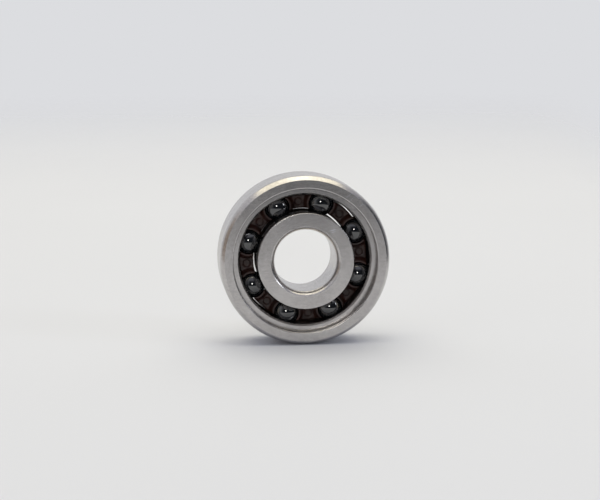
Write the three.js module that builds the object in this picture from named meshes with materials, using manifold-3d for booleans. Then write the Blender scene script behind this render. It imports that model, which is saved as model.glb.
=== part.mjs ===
// Open deep-groove ball bearing: two ground steel rings, eight ceramic balls and a moulded
// snap-in crown cage. The bearing's axis is Y, its front side faces -Y and it stands on its
// rim with +Z up. Sizes are in millimetres and the origin is the bearing's centre.
import * as THREE from "three";
import { mergeVertices } from "three/addons/utils/BufferGeometryUtils.js";
import Module from "manifold-3d";

// Boundary dimensions
const boreDiameter = 8;
const outsideDiameter = 22;
const width = 7;

// Balls
const ballCount = 8;
const ballDiameter = 3.5;
const firstBallAngle = 17.6; // degrees clockwise from the top, seen from the front
const raceClearance = 0.04; // play between a ball and the bottom of either raceway
const conformity = 0.53; // raceway arc radius over ball diameter

// Outer ring
const outerCorner = 0.93; // how far the rounded corner reaches along the rim
const outerCornerRadius = 1.07; // larger, so that the corner meets the side face at an edge
const outerGrooveDepth = 0.79; // raceway depth below the shoulder
const shoulderBreak = 0.2; // bevel between the shoulder and the floor of the shield seat
const seatStep = 0.83; // how far the shield seat is cut back from the shoulder
const seatDepth = 1.1; // from the side face to the floor of the shield seat
const lipThickness = 0.4; // the lip that would hold a shield in its groove
const lipGrooveDepth = 0.26; // the groove's undercut behind the lip

// Inner ring
const boreCorner = 0.93; // how far the rounded corner reaches along the bore
const boreCornerRadius = 1.07;
const innerGrooveDepth = 0.54; // raceway depth below the shoulder

const edgeBreak = 0.16; // small bevel on every other edge of the rings

// Crown cage
const cageInnerClearance = 0.3; // to the inner ring's shoulder, at the horn tips
const cageOuterClearance = 0.2; // to the outer ring's shoulder, at the horn tips
const cageInnerDraft = 0.15; // how much the inner wall closes in towards the back
const cageOuterDraft = 0.1; // how much the outer wall spreads towards the back
const pocketClearance = 0.1; // between a ball and its pocket
const hornReach = 1; // how far the horns reach past the ball centres
const hornTip = 0.28; // thickness of a horn at its tip
const hornSpread = 0.42; // how much wider a horn is at its root than at its tip
const webSink = 0.3; // the web's floor, in front of the ball centres
const cageBase = 0.55; // thickness behind the pockets
const cageEdge = 0.12; // bevel on the back edges of the cage

// Fineness of the faceted surfaces
const rimFacets = 32; // the outer ring's, whose flats are wide enough to stand on
const ringFacets = 64;
const cornerFacets = 4;
const racewayFacets = 6;
const ballFacets = 20;
const pocketFacets = 24;

const boreRadius = boreDiameter / 2;
const rimRadius = outsideDiameter / 2;
const halfWidth = width / 2;
const ballRadius = ballDiameter / 2;
const pitchRadius = (boreRadius + rimRadius) / 2;
const ballPitch = (2 * Math.PI) / ballCount;

const racewayRadius = conformity * ballDiameter;
const outerRaceBottom = pitchRadius + ballRadius + raceClearance;
const innerRaceBottom = pitchRadius - ballRadius - raceClearance;
const outerShoulder = outerRaceBottom - outerGrooveDepth;
const innerShoulder = innerRaceBottom + innerGrooveDepth;
const seatRadius = outerShoulder + seatStep;

const cageInside = innerShoulder + cageInnerClearance;
const cageOutside = outerShoulder - cageOuterClearance;
const cageBackInside = cageInside - cageInnerDraft;
const cageBackOutside = cageOutside + cageOuterDraft;
const pocketRadius = ballRadius + pocketClearance;
const cageBack = pocketRadius + cageBase;

const wasm = await Module();
wasm.setup();

const point = (radius, along) => new THREE.Vector2(radius, along);

// The same points on the other side of the middle plane, in the opposite order.
function mirrored(points) {
  return points.map((p) => point(p.x, -p.y)).reverse();
}

// A ring's rounded corner, from the cylinder to the edge of the side face. inward is -1 when the
// corner leads towards the axis and 1 when it leads away from it.
function cornerPoints(cylinderRadius, reach, round, inward) {
  const whole = Math.asin(reach / round);
  const points = [];
  for (let i = 0; i <= cornerFacets; i++) {
    const turn = (i / cornerFacets) * whole;
    const radial = cylinderRadius + inward * round * (1 - Math.cos(turn));
    points.push(point(radial, halfWidth - reach + round * Math.sin(turn)));
  }
  return points;
}

// Raceway arc from its front edge to its back edge; outward is 1 on the outer ring, -1 on the inner.
function racewayPoints(raceBottom, depth, outward) {
  const centre = raceBottom - outward * racewayRadius;
  const edge = Math.acos((racewayRadius - depth) / racewayRadius);
  const points = [];
  for (let i = 0; i <= racewayFacets; i++) {
    const turn = edge * ((2 * i) / racewayFacets - 1);
    const radial = centre + outward * racewayRadius * Math.cos(turn);
    points.push(point(radial, racewayRadius * Math.sin(turn)));
  }
  return points;
}

// Solid of revolution about the bearing's axis from a closed section that runs anticlockwise.
// Its flats touch the true circles, and one of them faces straight down.
function turned(points, facets) {
  const halfFacet = Math.PI / facets;
  const toFlats = 1 / Math.cos(halfFacet);
  const solid = new THREE.LatheGeometry([...points, points[0]], facets, halfFacet);
  return solid.scale(toFlats, 1, toFlats);
}

function outerRingGeometry() {
  const seatFloor = halfWidth - seatDepth;
  const lipBack = halfWidth - lipThickness;
  const side = [
    ...cornerPoints(rimRadius, outerCorner, outerCornerRadius, -1),
    point(seatRadius + edgeBreak, halfWidth),
    point(seatRadius, halfWidth - edgeBreak),
    point(seatRadius, lipBack),
    point(seatRadius + lipGrooveDepth, (lipBack + seatFloor) / 2),
    point(seatRadius, seatFloor),
    point(outerShoulder + shoulderBreak, seatFloor),
    point(outerShoulder, seatFloor - shoulderBreak),
  ];
  const raceway = racewayPoints(outerRaceBottom, outerGrooveDepth, 1).reverse();
  return turned([...side, ...raceway, ...mirrored(side)], rimFacets);
}

function innerRingGeometry() {
  const side = [
    point(innerShoulder, halfWidth - edgeBreak),
    point(innerShoulder - edgeBreak, halfWidth),
    ...cornerPoints(boreRadius, boreCorner, boreCornerRadius, 1).reverse(),
  ];
  const raceway = racewayPoints(innerRaceBottom, innerGrooveDepth, -1);
  return turned([...side, ...mirrored(side), ...raceway], ringFacets);
}

function ballGeometry() {
  return new THREE.SphereGeometry(ballRadius, ballFacets, ballFacets / 2);
}

// Solid for joining and cutting, from a closed three.js geometry.
function solidFrom(geometry) {
  geometry.deleteAttribute("normal");
  geometry.deleteAttribute("uv");
  const merged = mergeVertices(geometry);
  const vertProperties = merged.getAttribute("position").array;
  const triVerts = new Uint32Array(merged.index.array);
  return new wasm.Manifold(new wasm.Mesh({ numProp: 3, vertProperties, triVerts }));
}

function geometryFrom(solid) {
  const mesh = solid.getMesh();
  const geometry = new THREE.BufferGeometry();
  geometry.setAttribute("position", new THREE.BufferAttribute(mesh.vertProperties, 3));
  geometry.setIndex(new THREE.BufferAttribute(mesh.triVerts, 1));
  geometry.computeVertexNormals();
  return geometry;
}

// Centre of one ball before the set is turned to its resting angle.
function ballCentre(index) {
  const turn = index * ballPitch;
  return new THREE.Vector3(pitchRadius * Math.sin(turn), 0, pitchRadius * Math.cos(turn));
}

// One copy of a shape at every ball, joined into one solid.
function atEveryBall(makeGeometry) {
  const copies = [];
  for (let i = 0; i < ballCount; i++) {
    const centre = ballCentre(i);
    copies.push(solidFrom(makeGeometry().translate(centre.x, centre.y, centre.z)));
  }
  return copies.reduce((all, next) => all.add(next));
}

// Plain band that the cage is cut from, from the horn tips to the back of the base.
function cageBlankGeometry() {
  return turned(
    [
      point(cageInside, -hornReach),
      point(cageOutside, -hornReach),
      point(cageBackOutside, cageBack - cageEdge),
      point(cageBackOutside - cageEdge, cageBack),
      point(cageBackInside + cageEdge, cageBack),
      point(cageBackInside, cageBack - cageEdge),
    ],
    ringFacets,
  );
}

// Cone that keeps the horns of one pocket while the webs beside them are cut down.
function hornConeGeometry() {
  const runOn = 0.5; // past the horn tips at one end and into the base at the other
  const tipRadius = Math.sqrt(pocketRadius ** 2 - hornReach ** 2) + hornTip;
  const slope = hornSpread / (hornReach - webSink);
  const narrow = tipRadius - slope * runOn;
  const wide = tipRadius + slope * (hornReach + runOn);
  return new THREE.LatheGeometry(
    [
      point(0, -hornReach - runOn),
      point(narrow, -hornReach - runOn),
      point(wide, runOn),
      point(0, runOn),
    ],
    pocketFacets,
  );
}

// Everything in front of the webs' floor, apart from the horns.
function webCutter() {
  const spare = 1; // past the band on both sides and in front of it
  const slab = turned(
    [
      point(cageInside - spare, -hornReach - spare),
      point(cageOutside + spare, -hornReach - spare),
      point(cageOutside + spare, -webSink),
      point(cageInside - spare, -webSink),
    ],
    ringFacets,
  );
  return solidFrom(slab).subtract(atEveryBall(hornConeGeometry));
}

function cageGeometry() {
  const pocket = () => new THREE.SphereGeometry(pocketRadius, pocketFacets, pocketFacets / 2);
  const blank = solidFrom(cageBlankGeometry());
  return geometryFrom(blank.subtract(webCutter()).subtract(atEveryBall(pocket)));
}

function named(name, geometry, material) {
  const mesh = new THREE.Mesh(geometry, material);
  mesh.name = name;
  return mesh;
}

function groundSteel(color, roughness) {
  return new THREE.MeshStandardMaterial({ color, roughness, metalness: 1 });
}

function siliconNitride() {
  return new THREE.MeshStandardMaterial({ color: 0x17181b, roughness: 0.12, metalness: 0 });
}

function mouldedNylon() {
  return new THREE.MeshStandardMaterial({ color: 0x241714, roughness: 0.45, metalness: 0 });
}

const bearing = new THREE.Group();
bearing.add(named("outer_ring", outerRingGeometry(), groundSteel(0xb9b7b2, 0.3)));
bearing.add(named("inner_ring", innerRingGeometry(), groundSteel(0xb4b2ad, 0.34)));

const rollingSet = new THREE.Group(); // the cage and its balls, turned to their resting angle
rollingSet.rotation.y = THREE.MathUtils.degToRad(firstBallAngle);
rollingSet.add(named("crown_cage", cageGeometry(), mouldedNylon()));
for (let i = 0; i < ballCount; i++) {
  const ball = named("ball_" + (i + 1), ballGeometry(), siliconNitride());
  ball.position.copy(ballCentre(i));
  rollingSet.add(ball);
}
bearing.add(rollingSet);

export default bearing;
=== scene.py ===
from math import acos, asin, atan2, cos, hypot, pi, radians, sin, sqrt, tau

import bmesh
import bpy
from mathutils import Matrix, Vector


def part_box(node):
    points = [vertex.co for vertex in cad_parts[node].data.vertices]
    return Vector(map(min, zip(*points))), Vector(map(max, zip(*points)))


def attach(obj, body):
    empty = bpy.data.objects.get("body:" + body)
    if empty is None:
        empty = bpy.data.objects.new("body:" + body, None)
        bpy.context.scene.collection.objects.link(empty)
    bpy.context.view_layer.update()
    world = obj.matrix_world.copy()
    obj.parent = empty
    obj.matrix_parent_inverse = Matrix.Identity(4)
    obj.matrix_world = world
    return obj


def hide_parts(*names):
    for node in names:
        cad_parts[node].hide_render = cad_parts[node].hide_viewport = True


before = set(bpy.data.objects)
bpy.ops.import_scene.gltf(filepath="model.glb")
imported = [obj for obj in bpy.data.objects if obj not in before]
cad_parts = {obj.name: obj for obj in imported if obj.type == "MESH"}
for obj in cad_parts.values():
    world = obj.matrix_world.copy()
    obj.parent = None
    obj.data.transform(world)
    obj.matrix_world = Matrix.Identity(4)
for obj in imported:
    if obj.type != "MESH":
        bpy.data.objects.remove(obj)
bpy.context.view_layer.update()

# Pieces are modelled in millimetres and brought down to metres when they are finished.
mm = 0.001
ringSteps = 256  # round the rings and the cage
cornerSteps = 12  # along the rounded corner of the rim and of the bore
edgeSteps = 8  # along the small radius beside each side face
racewaySteps = 14  # along half a raceway groove


# Colours are written as sRGB hex and used as linear values.
def linear(hexColour):
    channels = [int(hexColour[i:i + 2], 16) / 255 for i in (1, 3, 5)]
    return [c / 12.92 if c <= 0.04045 else ((c + 0.055) / 1.055) ** 2.4 for c in channels] + [1]


# Adds one node. Keys of settings and links are socket names or numbers, or the node's own settings.
def addNode(tree, kind, settings=None, links=None):
    node = tree.nodes.new(kind)
    for key, value in (settings or {}).items():
        if isinstance(key, int) or key in node.inputs:
            node.inputs[key].default_value = value
        else:
            setattr(node, key, value)
    for key, source in (links or {}).items():
        tree.links.new(source, node.inputs[key])
    return node


def newMaterial(name):
    material = bpy.data.materials.new(name)
    material.use_nodes = True
    tree = material.node_tree
    tree.nodes.clear()
    return material, tree


# Object coordinates in millimetres, so that every pattern below has its real size.
def millimetres(tree):
    coords = addNode(tree, "ShaderNodeTexCoord")
    return addNode(tree, "ShaderNodeMapping", {"Scale": (1000, 1000, 1000)},
                   {"Vector": coords.outputs["Object"]}).outputs["Vector"]


# Position that hardly changes round the Y axis but quickly across it, for lines that a lathe or
# a grinding wheel leaves round a ring. lineWidth is in millimetres.
def roundTheAxis(tree, place, lineWidth):
    parts = addNode(tree, "ShaderNodeSeparateXYZ", {}, {"Vector": place})
    flat = addNode(tree, "ShaderNodeCombineXYZ", {},
                   {"X": parts.outputs["X"], "Z": parts.outputs["Z"]}).outputs["Vector"]
    radius = addNode(tree, "ShaderNodeVectorMath", {"operation": "LENGTH"}, {0: flat})
    turn = addNode(tree, "ShaderNodeVectorMath", {"operation": "NORMALIZE"}, {0: flat})
    across = addNode(tree, "ShaderNodeMath", {"operation": "MULTIPLY_ADD", 1: 0.73},
                     {0: parts.outputs["Y"], 2: radius.outputs["Value"]})
    fine = addNode(tree, "ShaderNodeMath", {"operation": "MULTIPLY", 1: 1 / lineWidth},
                   {0: across.outputs[0]})
    turned = addNode(tree, "ShaderNodeSeparateXYZ", {}, {"Vector": turn.outputs["Vector"]})
    return addNode(tree, "ShaderNodeCombineXYZ", {},
                   {"X": turned.outputs["X"], "Y": fine.outputs[0],
                    "Z": turned.outputs["Z"]}).outputs["Vector"]


# Chromium bearing steel, surface ground and lapped flat: a satin grey face, finely mottled, with
# short hairlines in three directions and a few handling scratches, sunk by the bump and coloured
# near white as a painted glint. Widths are in millimetres and the bump in metres. Real hairlines
# are finer, and are drawn 0.1 mm wide so that they show. Each of the scratches is x, z, turn in
# degrees, length and width, and shows on both sides of the bearing.
groundFace = {
    # The scratch colour is near white, the colour of the strip lights: a painted glint.
    "light": "#cbc8c7", "dark": "#b3b0af", "scratchGlintColour": "#f4f8ff", "roughness": 0.25,
    "mottle": 0.3, "patch": 2.2, "hairline": 0.1, "lapping": (38, 97, 151), "bump": 0.0000003,
    "scratchesWithGlint": [(3.45, 3.97, -15, 1.1, 0.07), (3.55, 3.74, -17, 0.9, 0.05),
                  (5.5, 8.42, -38, 1.2, 0.06), (5.95, 8.0, -42, 0.9, 0.05),
                  (7.2, 7.2, -36, 0.7, 0.05)],
}


def groundSteel():
    look = groundFace
    material, tree = newMaterial("groundSteel")
    place = millimetres(tree)
    mottle = addNode(tree, "ShaderNodeTexNoise",
                     {"Scale": 1 / look["mottle"], "Detail": 3, "Roughness": 0.6},
                     {"Vector": place}).outputs["Fac"]
    patches = addNode(tree, "ShaderNodeTexNoise",
                      {"Scale": 1 / look["patch"], "Detail": 2}, {"Vector": place}).outputs["Fac"]
    hairlines = []
    for turn in look["lapping"]:
        along = addNode(tree, "ShaderNodeMapping",
                        {"Rotation": (0, radians(turn), 0),
                         "Scale": (0.9, 1, 1 / look["hairline"])}, {"Vector": place})
        hairlines.append(addNode(tree, "ShaderNodeTexNoise", {"Scale": 1, "Detail": 2},
                                 {"Vector": along.outputs["Vector"]}).outputs["Fac"])
    crossed = addNode(tree, "ShaderNodeMath", {"operation": "MAXIMUM"},
                      {0: hairlines[0], 1: hairlines[1]}).outputs[0]
    crossed = addNode(tree, "ShaderNodeMath", {"operation": "MAXIMUM"},
                      {0: crossed, 1: hairlines[2]}).outputs[0]
    grain = addNode(tree, "ShaderNodeMath", {"operation": "ADD"}, {0: mottle, 1: crossed}).outputs[0]
    tone = addNode(tree, "ShaderNodeMath", {"operation": "MULTIPLY_ADD", 1: 0.7},
                   {0: patches, 2: grain}).outputs[0]
    shade = addNode(tree, "ShaderNodeMapRange",
                    {"From Min": 1.15, "From Max": 1.75}, {"Value": tone}).outputs[0]
    colour = addNode(tree, "ShaderNodeMix",
                     {"data_type": "RGBA", 6: linear(look["dark"]), 7: linear(look["light"])},
                     {0: shade}).outputs[2]
    allScratchesAndGlints = None
    for x, z, turn, length, breadth in look["scratchesWithGlint"]:
        line = addNode(tree, "ShaderNodeMapping",
                       {"vector_type": "TEXTURE", "Location": (x, 0, z),
                        "Rotation": (0, radians(turn), 0)}, {"Vector": place})
        parts = addNode(tree, "ShaderNodeSeparateXYZ", {}, {"Vector": line.outputs["Vector"]})
        ends = addNode(tree, "ShaderNodeMath", {"operation": "ABSOLUTE"}, {0: parts.outputs["X"]})
        sides = addNode(tree, "ShaderNodeMath", {"operation": "ABSOLUTE"}, {0: parts.outputs["Z"]})
        long = addNode(tree, "ShaderNodeMapRange",
                       {"From Min": length / 2, "From Max": length / 5}, {"Value": ends.outputs[0]})
        thin = addNode(tree, "ShaderNodeMapRange",
                       {"From Min": breadth, "From Max": 0}, {"Value": sides.outputs[0]})
        oneScratchAndGlint = addNode(tree, "ShaderNodeMath", {"operation": "MULTIPLY"},
                       {0: long.outputs[0], 1: thin.outputs[0]}).outputs[0]
        allScratchesAndGlints = oneScratchAndGlint if allScratchesAndGlints is None else addNode(
            tree, "ShaderNodeMath", {"operation": "MAXIMUM"}, {0: allScratchesAndGlints, 1: oneScratchAndGlint}).outputs[0]
    # Painted glint: the scratches are coloured near white whatever light falls on them, over the grooves
    # that the bump sinks.
    colour = addNode(tree, "ShaderNodeMix",
                     {"data_type": "RGBA", 7: linear(look["scratchGlintColour"])}, {0: allScratchesAndGlints, 6: colour}).outputs[2]
    rough = addNode(tree, "ShaderNodeMapRange",
                    {"From Min": 0.4, "From Max": 1.3, "To Min": look["roughness"] - 0.01,
                     "To Max": look["roughness"] + 0.02}, {"Value": grain}).outputs[0]
    height = addNode(tree, "ShaderNodeMath", {"operation": "MULTIPLY_ADD", 1: -1.0},
                     {0: allScratchesAndGlints, 2: grain}).outputs[0]
    bump = addNode(tree, "ShaderNodeBump", {"Strength": 1.0, "Distance": look["bump"]},
                   {"Height": height}).outputs["Normal"]
    shader = addNode(tree, "ShaderNodeBsdfPrincipled", {"Metallic": 1.0},
                     {"Base Color": colour, "Roughness": rough, "Normal": bump})
    addNode(tree, "ShaderNodeOutputMaterial", {}, {"Surface": shader.outputs[0]})
    return material


# The same steel on the surfaces that are ground, turned or honed round the axis. Each has its own
# width of line, and the more it is polished the sharper it mirrors. Real lines are finer, and are
# drawn 0.06 to 0.09 mm wide so that they show.
roundFinishes = {
    "polishedRimSteel": {"light": "#e2e1e4", "dark": "#dcdbde", "roughness": 0.06, "line": 0.09,
                         "bump": 0.0000001},
    "turnedSeatSteel": {"light": "#c2c7ce", "dark": "#acb1b8", "roughness": 0.13, "line": 0.08,
                        "bump": 0.0000005},
    "honedRacewaySteel": {"light": "#cfcdcb", "dark": "#c5c3c1", "roughness": 0.08, "line": 0.06,
                          "bump": 0.0000002},
    "groundBoreSteel": {"light": "#d4d2d0", "dark": "#cbc9c6", "roughness": 0.08, "line": 0.08,
                        "bump": 0.0000002},
}


def roundSteel(name):
    look = roundFinishes[name]
    material, tree = newMaterial(name)
    place = millimetres(tree)
    lines = addNode(tree, "ShaderNodeTexNoise", {"Scale": 1, "Detail": 3, "Roughness": 0.65},
                    {"Vector": roundTheAxis(tree, place, look["line"])}).outputs["Fac"]
    fleck = addNode(tree, "ShaderNodeTexNoise", {"Scale": 3.5, "Detail": 2},
                    {"Vector": place}).outputs["Fac"]
    tone = addNode(tree, "ShaderNodeMath", {"operation": "ADD"}, {0: lines, 1: fleck}).outputs[0]
    shade = addNode(tree, "ShaderNodeMapRange", {"From Min": 0.7, "From Max": 1.3},
                    {"Value": tone}).outputs[0]
    colour = addNode(tree, "ShaderNodeMix",
                     {"data_type": "RGBA", 6: linear(look["dark"]), 7: linear(look["light"])},
                     {0: shade}).outputs[2]
    rough = addNode(tree, "ShaderNodeMapRange",
                    {"From Min": 0.7, "From Max": 1.3, "To Min": look["roughness"] * 1.25,
                     "To Max": look["roughness"] * 0.8}, {"Value": tone}).outputs[0]
    bump = addNode(tree, "ShaderNodeBump", {"Strength": 1.0, "Distance": look["bump"]},
                   {"Height": lines}).outputs["Normal"]
    shader = addNode(tree, "ShaderNodeBsdfPrincipled", {"Metallic": 1.0},
                     {"Base Color": colour, "Roughness": rough, "Normal": bump})
    addNode(tree, "ShaderNodeOutputMaterial", {}, {"Surface": shader.outputs[0]})
    return material


# Polyamide 66, injection moulded and dyed dark brown: semi-matt, with faint flow clouds and the
# fine grain of a spark-eroded mould. The real grain of 0.03 mm is drawn at 0.09 mm to show.
cageLook = {"light": "#3c2018", "dark": "#21100c", "roughness": 0.46, "cloud": 1.3, "grain": 0.09,
            "bump": 0.000006, "ior": 1.53}


def mouldedPolyamide():
    look = cageLook
    material, tree = newMaterial("mouldedPolyamide")
    place = millimetres(tree)
    cloud = addNode(tree, "ShaderNodeTexNoise", {"Scale": 1 / look["cloud"], "Detail": 3},
                    {"Vector": place}).outputs["Fac"]
    grain = addNode(tree, "ShaderNodeTexNoise",
                    {"Scale": 1 / look["grain"], "Detail": 2, "Roughness": 0.6},
                    {"Vector": place}).outputs["Fac"]
    tone = addNode(tree, "ShaderNodeMath", {"operation": "MULTIPLY_ADD", 1: 0.5},
                   {0: grain, 2: cloud}).outputs[0]
    shade = addNode(tree, "ShaderNodeMapRange", {"From Min": 0.55, "From Max": 0.95},
                    {"Value": tone}).outputs[0]
    colour = addNode(tree, "ShaderNodeMix",
                     {"data_type": "RGBA", 6: linear(look["dark"]), 7: linear(look["light"])},
                     {0: shade}).outputs[2]
    rough = addNode(tree, "ShaderNodeMapRange",
                    {"From Min": 0.3, "From Max": 0.7, "To Min": look["roughness"] - 0.07,
                     "To Max": look["roughness"] + 0.07}, {"Value": grain}).outputs[0]
    bump = addNode(tree, "ShaderNodeBump", {"Strength": 0.6, "Distance": look["bump"]},
                   {"Height": grain}).outputs["Normal"]
    shader = addNode(tree, "ShaderNodeBsdfPrincipled", {"IOR": look["ior"]},
                     {"Base Color": colour, "Roughness": rough, "Normal": bump})
    addNode(tree, "ShaderNodeOutputMaterial", {}, {"Surface": shader.outputs[0]})
    return material


# Silicon nitride, hot pressed and lapped to a mirror: glassy black with the ghost of its grain.
# Its 0.01 mm grain is drawn at 0.05 mm to show at all.
ballLook = {"light": "#16191c", "dark": "#0a0c0e", "roughness": 0.035, "grain": 0.05, "fleck": 0.4,
            "ior": 2.0}


def lappedNitride():
    look = ballLook
    material, tree = newMaterial("lappedSiliconNitride")
    place = millimetres(tree)
    grain = addNode(tree, "ShaderNodeTexVoronoi", {"Scale": 1 / look["grain"]},
                    {"Vector": place}).outputs["Distance"]
    fleck = addNode(tree, "ShaderNodeTexNoise", {"Scale": 1 / look["fleck"], "Detail": 4},
                    {"Vector": place}).outputs["Fac"]
    tone = addNode(tree, "ShaderNodeMath", {"operation": "MULTIPLY_ADD", 1: 0.4},
                   {0: grain, 2: fleck}).outputs[0]
    shade = addNode(tree, "ShaderNodeMapRange", {"From Min": 0.45, "From Max": 0.9},
                    {"Value": tone}).outputs[0]
    colour = addNode(tree, "ShaderNodeMix",
                     {"data_type": "RGBA", 6: linear(look["dark"]), 7: linear(look["light"])},
                     {0: shade}).outputs[2]
    rough = addNode(tree, "ShaderNodeMapRange",
                    {"From Min": 0.35, "From Max": 0.7, "To Min": look["roughness"] * 0.7,
                     "To Max": look["roughness"] * 1.4}, {"Value": fleck}).outputs[0]
    shader = addNode(tree, "ShaderNodeBsdfPrincipled", {"IOR": look["ior"]},
                     {"Base Color": colour, "Roughness": rough})
    addNode(tree, "ShaderNodeOutputMaterial", {}, {"Surface": shader.outputs[0]})
    return material


groundFaceSteel = groundSteel()
polishedRim = roundSteel("polishedRimSteel")
turnedSeat = roundSteel("turnedSeatSteel")
honedRaceway = roundSteel("honedRacewaySteel")
groundBore = roundSteel("groundBoreSteel")
cagePlastic = mouldedPolyamide()
ballCeramic = lappedNitride()
print("materials made")


# A section is drawn in the plane above the axis: along is the distance along Y, radius the height.
def startAt(bm, radius, along):
    return bm.verts.new((0, along, radius))


# Straight run of the section. A long one gets a point close to each end, so that smooth shading
# leaves the flat between them flat.
def lineTo(bm, vert, radius, along, hold=0.03):
    end = Vector((0, along, radius))
    run = end - vert.co
    stops = [1]
    if run.length > 6 * hold:
        stops = [hold / run.length, 1 - hold / run.length, 1]
    start = vert.co.copy()
    for stop in stops:
        vert = bmesh.ops.extrude_vert_indiv(bm, verts=[vert])["verts"][0]
        vert.co = start + run * stop
    return vert


# Arc of the section about a centre, positive from the Y axis towards the Z axis.
def arcTo(bm, vert, radius, along, degrees, steps):
    made = bmesh.ops.spin(bm, geom=[vert], cent=(0, along, radius), axis=(1, 0, 0), dvec=(0, 0, 0),
                          angle=radians(degrees), steps=steps, use_merge=False,
                          use_normal_flip=False, use_duplicate=False)
    return [v for v in made["geom_last"] if isinstance(v, bmesh.types.BMVert)][0]


# The section's other half and then the whole turn about the axis.
def turnSection(bm, mirrorIt):
    if mirrorIt:
        bmesh.ops.mirror(bm, geom=bm.verts[:] + bm.edges[:], matrix=Matrix.Identity(4),
                         merge_dist=0.0001, axis="Y")
        bmesh.ops.remove_doubles(bm, verts=bm.verts[:], dist=0.0001)
    bmesh.ops.spin(bm, geom=bm.verts[:] + bm.edges[:], cent=(0, 0, 0), axis=(0, 1, 0),
                   dvec=(0, 0, 0), angle=tau, steps=ringSteps, use_merge=True,
                   use_normal_flip=False, use_duplicate=False)
    bmesh.ops.remove_doubles(bm, verts=bm.verts[:], dist=0.0001)
    bmesh.ops.recalc_face_normals(bm, faces=bm.faces[:])


def objectFrom(name, bm):
    mesh = bpy.data.meshes.new(name)
    bm.to_mesh(mesh)
    bm.free()
    made = bpy.data.objects.new(name, mesh)
    bpy.context.scene.collection.objects.link(made)
    return made


# Brings a piece down to metres, smooths it, gives it its finish, hides its CAD node and ties it
# to its body.
def finishPiece(piece, body, node, materials, creaseAngle=None):
    piece.data.transform(Matrix.Scale(mm, 4))
    piece.data.materials.clear()
    for material in materials:
        piece.data.materials.append(material)
    piece.data.shade_smooth()
    if creaseAngle:
        piece.data.set_sharp_from_angle(angle=radians(creaseAngle))
    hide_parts(node)
    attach(piece, body)
    print("made", piece.name)
    return piece


# A ring's corner is an arc that leaves the cylinder smoothly and meets the side face at an edge.
# These give its turn in degrees and how far it reaches across the side face.
def cornerTurn(corner):
    return asin(corner["reach"] / corner["arc"]) * 180 / pi


def cornerAcross(corner):
    return corner["arc"] * (1 - cos(asin(corner["reach"] / corner["arc"])))


# Half the angle that a raceway groove takes up, for its arc radius and its depth.
def grooveAngle(groove):
    return acos((groove["arc"] - groove["depth"]) / groove["arc"])


# Outer ring, in millimetres. The seats beside the raceway would hold shields. Its corner is rounded
# off a little more than the CAD ring's, and reaches as far across the side face.
outerRing = {
    "rim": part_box("outer_ring")[1].z / mm, "halfWidth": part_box("outer_ring")[1].y / mm,
    "corner": {"reach": 1.16, "arc": 1.51}, "edge": 0.16, "seat": 9.33, "seatDepth": 1.1,
    "lip": 0.4, "undercut": 0.26, "shoulder": 8.5, "shoulderBreak": 0.2,
    "raceway": {"bottom": 9.29, "arc": 1.855, "depth": 0.79},
}


def makeOuterRing():
    ring, groove = outerRing, outerRing["raceway"]
    side, corner, edge = ring["halfWidth"], ring["corner"], ring["edge"]
    slope = ring["shoulderBreak"]
    seatFloor = side - ring["seatDepth"]
    lipBack = side - ring["lip"]
    half = grooveAngle(groove)
    bm = bmesh.new()
    tip = startAt(bm, ring["rim"], 0)
    tip = lineTo(bm, tip, ring["rim"], corner["reach"] - side)
    tip = arcTo(bm, tip, ring["rim"] - corner["arc"], corner["reach"] - side,
                cornerTurn(corner), cornerSteps)
    tip = lineTo(bm, tip, ring["seat"] + edge, -side)
    tip = arcTo(bm, tip, ring["seat"] + edge, edge - side, 90, edgeSteps)
    tip = lineTo(bm, tip, ring["seat"], -lipBack)
    tip = lineTo(bm, tip, ring["seat"] + ring["undercut"], -(lipBack + seatFloor) / 2)
    tip = lineTo(bm, tip, ring["seat"], -seatFloor)
    tip = lineTo(bm, tip, ring["shoulder"] + slope, -seatFloor)
    tip = lineTo(bm, tip, ring["shoulder"], slope - seatFloor)
    tip = lineTo(bm, tip, ring["shoulder"], -groove["arc"] * sin(half))
    arcTo(bm, tip, groove["bottom"] - groove["arc"], 0, -half * 180 / pi, racewaySteps)
    turnSection(bm, True)
    for face in bm.faces:
        at = face.calc_center_median()
        reach, along = hypot(at.x, at.z), abs(at.y)
        if along > side - 0.001:
            face.material_index = 0
        elif reach > ring["rim"] - cornerAcross(corner):
            face.material_index = 1
        elif along > seatFloor - slope:
            face.material_index = 2
        else:
            face.material_index = 3
    piece = objectFrom("outerRing", bm)
    finishes = [groundFaceSteel, polishedRim, turnedSeat, honedRaceway]
    return finishPiece(piece, "outer_ring", "outer_ring", finishes, 16)


# Inner ring, in millimetres.
innerRing = {
    "bore": 4.0, "halfWidth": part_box("inner_ring")[1].y / mm,
    "corner": {"reach": 0.93, "arc": 1.07}, "edge": 0.12, "shoulder": 6.25,
    "raceway": {"bottom": 5.71, "arc": 1.855, "depth": 0.54},
}


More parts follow.
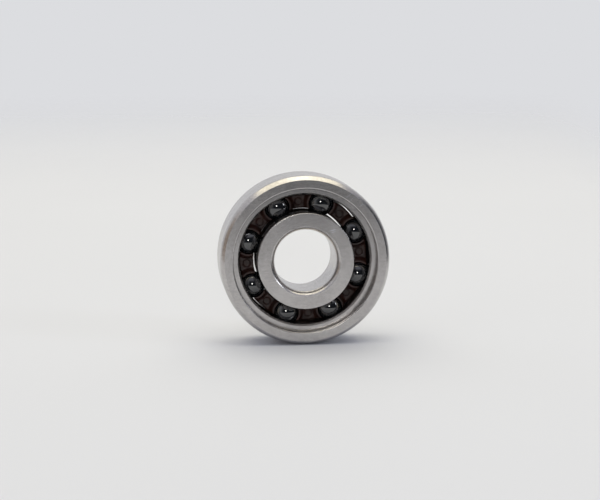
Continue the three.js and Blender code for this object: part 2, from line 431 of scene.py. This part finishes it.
def makeInnerRing():
    ring, groove = innerRing, innerRing["raceway"]
    side, corner, edge = ring["halfWidth"], ring["corner"], ring["edge"]
    half = grooveAngle(groove)
    bm = bmesh.new()
    tip = startAt(bm, ring["bore"], 0)
    tip = lineTo(bm, tip, ring["bore"], corner["reach"] - side)
    tip = arcTo(bm, tip, ring["bore"] + corner["arc"], corner["reach"] - side,
                -cornerTurn(corner), cornerSteps)
    tip = lineTo(bm, tip, ring["shoulder"] - edge, -side)
    tip = arcTo(bm, tip, ring["shoulder"] - edge, edge - side, -90, edgeSteps)
    tip = lineTo(bm, tip, ring["shoulder"], -groove["arc"] * sin(half))
    arcTo(bm, tip, groove["bottom"] + groove["arc"], 0, half * 180 / pi, racewaySteps)
    turnSection(bm, True)
    for face in bm.faces:
        at = face.calc_center_median()
        reach = hypot(at.x, at.z)
        if abs(at.y) > side - 0.001:
            face.material_index = 0
        elif reach < ring["bore"] + cornerAcross(corner):
            face.material_index = 1
        else:
            face.material_index = 2
    piece = objectFrom("innerRing", bm)
    finishes = [groundFaceSteel, groundBore, honedRaceway]
    return finishPiece(piece, "inner_ring", "inner_ring", finishes, 16)


# Balls, in millimetres. Each sits where its CAD node is.
balls = {"count": 8, "radius": 1.75, "subdivisions": 5}


def ballCentre(number):
    low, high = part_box("ball_" + str(number))
    return (low + high) / 2 / mm


def makeBall(number):
    bm = bmesh.new()
    bmesh.ops.create_icosphere(bm, subdivisions=balls["subdivisions"], radius=balls["radius"],
                               matrix=Matrix.Translation(ballCentre(number)))
    piece = objectFrom("ball" + str(number), bm)
    node = "ball_" + str(number)
    return finishPiece(piece, node, node, [ballCeramic])


# Crown cage, in millimetres. Two horns snap round each ball, and the webs between them are sunk
# and carry the round marks of the mould's ejector pins. runOn is how far the cone that shapes the
# horns goes past them at both ends, and spare how far the slab that cuts the webs does.
crownCage = {
    "inside": 6.55, "outside": 8.3, "backInside": 6.4, "backOutside": 8.4,
    "front": -1.0, "back": 2.4, "backEdge": 0.12,
    "pitch": 7.5, "pocket": 1.85, "hornTip": 0.28, "hornSpread": 0.42, "webFloor": -0.3,
    "pinRing": 7.38, "pinRadius": 0.5, "pinDepth": 0.17, "runOn": 0.5, "spare": 1,
    "voxel": 0.08, "smoothing": 4,
}


# A ring of straight-sided section through these (radius, along) corners.
def bandObject(name, corners):
    bm = bmesh.new()
    first = tip = startAt(bm, *corners[0])
    for corner in corners[1:]:
        tip = lineTo(bm, tip, *corner, hold=1)
    bm.edges.new((tip, first))
    turnSection(bm, False)
    return objectFrom(name, bm)


# One object with a copy of a shape at every ball, or halfway between them. addShape gets the
# place of the first copy, with its Z axis along the bearing's.
def shapesAround(name, pitch, along, halfway, addShape):
    pace = tau / balls["count"]
    first = atan2(ballCentre(1).x, ballCentre(1).z) + halfway * pace / 2
    bm = bmesh.new()
    addShape(bm, Matrix.Rotation(first, 4, "Y") @ Matrix.Translation((0, along, pitch))
             @ Matrix.Rotation(-pi / 2, 4, "X"))
    bmesh.ops.spin(bm, geom=bm.verts[:] + bm.edges[:] + bm.faces[:], cent=(0, 0, 0),
                   axis=(0, 1, 0), dvec=(0, 0, 0), angle=tau - pace, steps=balls["count"] - 1,
                   use_merge=False, use_normal_flip=False, use_duplicate=True)
    return objectFrom(name, bm)


def cut(piece, cutter):
    modifier = piece.modifiers.new("cut", "BOOLEAN")
    modifier.operation = "DIFFERENCE"
    modifier.solver = "MANIFOLD"
    modifier.object = cutter
    cutter.hide_render = True


def applyModifiers(piece):
    graph = bpy.context.evaluated_depsgraph_get()
    finished = bpy.data.meshes.new_from_object(piece.evaluated_get(graph))
    piece.modifiers.clear()
    piece.data = finished


def makeCage():
    cage = crownCage
    blank = bandObject("crownCage", [
        (cage["inside"], cage["front"]), (cage["outside"], cage["front"]),
        (cage["backOutside"], cage["back"] - cage["backEdge"]),
        (cage["backOutside"] - cage["backEdge"], cage["back"]),
        (cage["backInside"] + cage["backEdge"], cage["back"]),
        (cage["backInside"], cage["back"] - cage["backEdge"])])
    spare = cage["spare"]
    slab = bandObject("webSlab", [
        (cage["inside"] - spare, cage["front"] - spare),
        (cage["outside"] + spare, cage["front"] - spare),
        (cage["outside"] + spare, cage["webFloor"]),
        (cage["inside"] - spare, cage["webFloor"])])
    tipRadius = sqrt(cage["pocket"] ** 2 - cage["front"] ** 2) + cage["hornTip"]
    slope = cage["hornSpread"] / (cage["webFloor"] - cage["front"])
    runOn = cage["runOn"]
    depth = runOn * 2 - cage["front"]
    horns = shapesAround(
        "horns", cage["pitch"], cage["front"] - runOn + depth / 2, 0,
        lambda bm, place: bmesh.ops.create_cone(
            bm, cap_ends=True, segments=128, radius1=tipRadius - slope * runOn,
            radius2=tipRadius + slope * (depth - runOn), depth=depth, matrix=place))
    pockets = shapesAround(
        "pockets", cage["pitch"], 0, 0,
        lambda bm, place: bmesh.ops.create_uvsphere(
            bm, u_segments=128, v_segments=64, radius=cage["pocket"], matrix=place))
    pins = shapesAround(
        "pins", cage["pinRing"], cage["webFloor"] + cage["pinDepth"] - 0.5, 1,
        lambda bm, place: bmesh.ops.create_cone(
            bm, cap_ends=True, segments=48, radius1=cage["pinRadius"],
            radius2=cage["pinRadius"], depth=1, matrix=place))
    cut(slab, horns)
    cut(blank, slab)
    cut(blank, pins)
    cut(blank, pockets)
    applyModifiers(blank)
    for cutter in (slab, horns, pockets, pins):
        bpy.data.objects.remove(cutter)
    # the mould's own small radius on every edge
    remesh = blank.modifiers.new("radius", "REMESH")
    remesh.mode = "VOXEL"
    remesh.voxel_size = cage["voxel"]
    smooth = blank.modifiers.new("even", "SMOOTH")
    smooth.factor = 0.5
    smooth.iterations = cage["smoothing"]
    applyModifiers(blank)
    return finishPiece(blank, "cage", "crown_cage", [cagePlastic])


makeOuterRing()
makeInnerRing()
makeCage()
for number in range(1, balls["count"] + 1):
    makeBall(number)


# Camera, in millimetres and degrees. aim is how far it points to the right of and above the
# bearing's centre.
cameraView = {"azimuth": -7.0, "elevation": 9.0, "distance": 198.4, "aim": (-0.363, 0.917),
              "lens": 91.3}


def makeCamera():
    turn, lift = radians(cameraView["azimuth"]), radians(cameraView["elevation"])
    back = Vector((sin(turn) * cos(lift), -cos(turn) * cos(lift), sin(lift)))
    right = Vector((cos(turn), sin(turn), 0))
    up = back.cross(right)
    aim = (right * cameraView["aim"][0] + up * cameraView["aim"][1]) * mm
    data = bpy.data.cameras.new("camera")
    data.lens = cameraView["lens"]
    data.sensor_width = 36
    data.clip_start, data.clip_end = 0.01, 20
    camera = bpy.data.objects.new("camera", data)
    camera.location = aim + back * cameraView["distance"] * mm
    camera.rotation_mode = "QUATERNION"
    camera.rotation_quaternion = (-back).to_track_quat("-Z", "Y")
    bpy.context.scene.collection.objects.link(camera)
    bpy.context.scene.camera = camera
    return back, right, up


towardsCamera, cameraRight, cameraUp = makeCamera()

# Floor: plain matt paper, in metres. Past these limits it fades into the room, so no edge shows.
# Each limit is where the fade starts and where it ends.
floorLook = {"size": 1.4, "colour": "#dee1ea", "dark": "#dbdee7", "roughness": 0.75,
             "front": (0.07, 0.14), "right": (0.05, 0.09), "left": (0.07, 0.14),
             "back": (0.12, 0.6), "widening": 0.22}


def makeFloor():
    material, tree = newMaterial("paleStudioPaper")
    place = addNode(tree, "ShaderNodeTexCoord").outputs["Object"]
    clouds = addNode(tree, "ShaderNodeTexNoise", {"Scale": 14, "Detail": 3},
                     {"Vector": place}).outputs["Fac"]
    colour = addNode(tree, "ShaderNodeMix",
                     {"data_type": "RGBA", 6: linear(floorLook["dark"]),
                      7: linear(floorLook["colour"])}, {0: clouds}).outputs[2]
    widening = floorLook["widening"]
    kept = None
    for side, way in (("front", (0, -1, 0)), ("back", (0, 1, 0)),
                      ("right", (1, -widening, 0)), ("left", (-1, -widening, 0))):
        reach = addNode(tree, "ShaderNodeVectorMath", {"operation": "DOT_PRODUCT", 1: way},
                        {0: place}).outputs["Value"]
        start, end = floorLook[side]
        fade = addNode(tree, "ShaderNodeMapRange",
                       {"interpolation_type": "SMOOTHSTEP", "From Min": end, "From Max": start},
                       {"Value": reach}).outputs[0]
        kept = fade if kept is None else addNode(
            tree, "ShaderNodeMath", {"operation": "MULTIPLY"}, {0: kept, 1: fade}).outputs[0]
    shader = addNode(tree, "ShaderNodeBsdfPrincipled", {"Roughness": floorLook["roughness"]},
                     {"Base Color": colour})
    clear = addNode(tree, "ShaderNodeBsdfTransparent")
    mixed = addNode(tree, "ShaderNodeMixShader", {},
                    {0: kept, 1: clear.outputs[0], 2: shader.outputs[0]})
    addNode(tree, "ShaderNodeOutputMaterial", {}, {"Surface": mixed.outputs[0]})
    bm = bmesh.new()
    bmesh.ops.create_grid(bm, x_segments=1, y_segments=1, size=floorLook["size"] / 2,
                          matrix=Matrix.Translation((0, 0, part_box("outer_ring")[0].z)))
    floor = objectFrom("studioFloor", bm)
    floor.data.materials.append(material)


# Soft studio light. Places are in metres, strengths in watts.
lights = {
    "overheadSoftbox": {"at": (0, 0.17, 0.5), "size": (0.7, 0.74), "watts": 2.1,
                        "colour": "#fff5cc", "aim": (0, 0.17, 0)},
    "overheadStrip": {"at": (0.02, 0.17, 0.49), "size": (0.16, 0.6), "watts": 0.2,
                      "colour": "#f6f8ff", "aim": (0.02, 0.17, 0)},
    "sideStrip": {"at": (0.41, -0.2, 0.19), "size": (0.08, 0.14), "watts": 0.2,
                  "colour": "#f4f8ff", "aim": (0, 0, 0)},
}
keyLamp = {"side": 0.04, "up": 0.09, "forward": 0.99, "distance": 0.7, "size": 0.12,
           "watts": 0.5, "colour": "#fffdf8"}


def addLight(name, shape, at, size, watts, colour, aim):
    data = bpy.data.lights.new(name, "AREA")
    data.shape = shape
    data.size = size[0]
    data.size_y = size[1]
    data.energy = watts
    data.color = linear(colour)[:3]
    lamp = bpy.data.objects.new(name, data)
    lamp.location = at
    lamp.rotation_mode = "QUATERNION"
    lamp.rotation_quaternion = (Vector(aim) - Vector(at)).to_track_quat("-Z", "Y")
    bpy.context.scene.collection.objects.link(lamp)


# Room light: pale behind, warm and half as bright to the left, dim in front and to the right.
roomLight = {"pale": "#dcdde0", "left": "#a2958a", "dim": "#36393f", "above": "#c9cad4",
             "strength": 1.0}


def makeWorld():
    world = bpy.data.worlds.new("studioRoom")
    world.use_nodes = True
    tree = world.node_tree
    tree.nodes.clear()
    way = addNode(tree, "ShaderNodeTexCoord").outputs["Generated"]
    colour = None
    for tone, middle, start, end in (("left", (-1, 0, 0), 0.75, 0.97),
                                     ("dim", (0.62, -0.78, 0), -0.25, 0.5),
                                     ("above", (0, 0, 1), 0.45, 0.8)):
        side = addNode(tree, "ShaderNodeVectorMath", {"operation": "DOT_PRODUCT", 1: middle},
                       {0: way})
        share = addNode(tree, "ShaderNodeMapRange",
                        {"interpolation_type": "SMOOTHSTEP", "From Min": start, "From Max": end},
                        {"Value": side.outputs["Value"]})
        mixed = addNode(tree, "ShaderNodeMix",
                        {"data_type": "RGBA", 6: linear(roomLight["pale"]),
                         7: linear(roomLight[tone])}, {0: share.outputs[0]})
        if colour:
            tree.links.new(colour, mixed.inputs[6])
        colour = mixed.outputs[2]
    glow = addNode(tree, "ShaderNodeBackground", {"Strength": roomLight["strength"]},
                    {"Color": colour})
    addNode(tree, "ShaderNodeOutputWorld", {}, {"Surface": glow.outputs[0]})
    bpy.context.scene.world = world


makeFloor()
for name, light in lights.items():
    addLight(name, "RECTANGLE", light["at"], light["size"], light["watts"], light["colour"],
             light["aim"])
lampWay = (cameraRight * keyLamp["side"] + cameraUp * keyLamp["up"]
           + towardsCamera * keyLamp["forward"]).normalized()
addLight("keyLamp", "DISK", lampWay * keyLamp["distance"], (keyLamp["size"], keyLamp["size"]),
         keyLamp["watts"], keyLamp["colour"], (0, 0, 0))
makeWorld()
bpy.context.scene.view_settings.view_transform = "Standard"
print("camera, floor and lights placed")
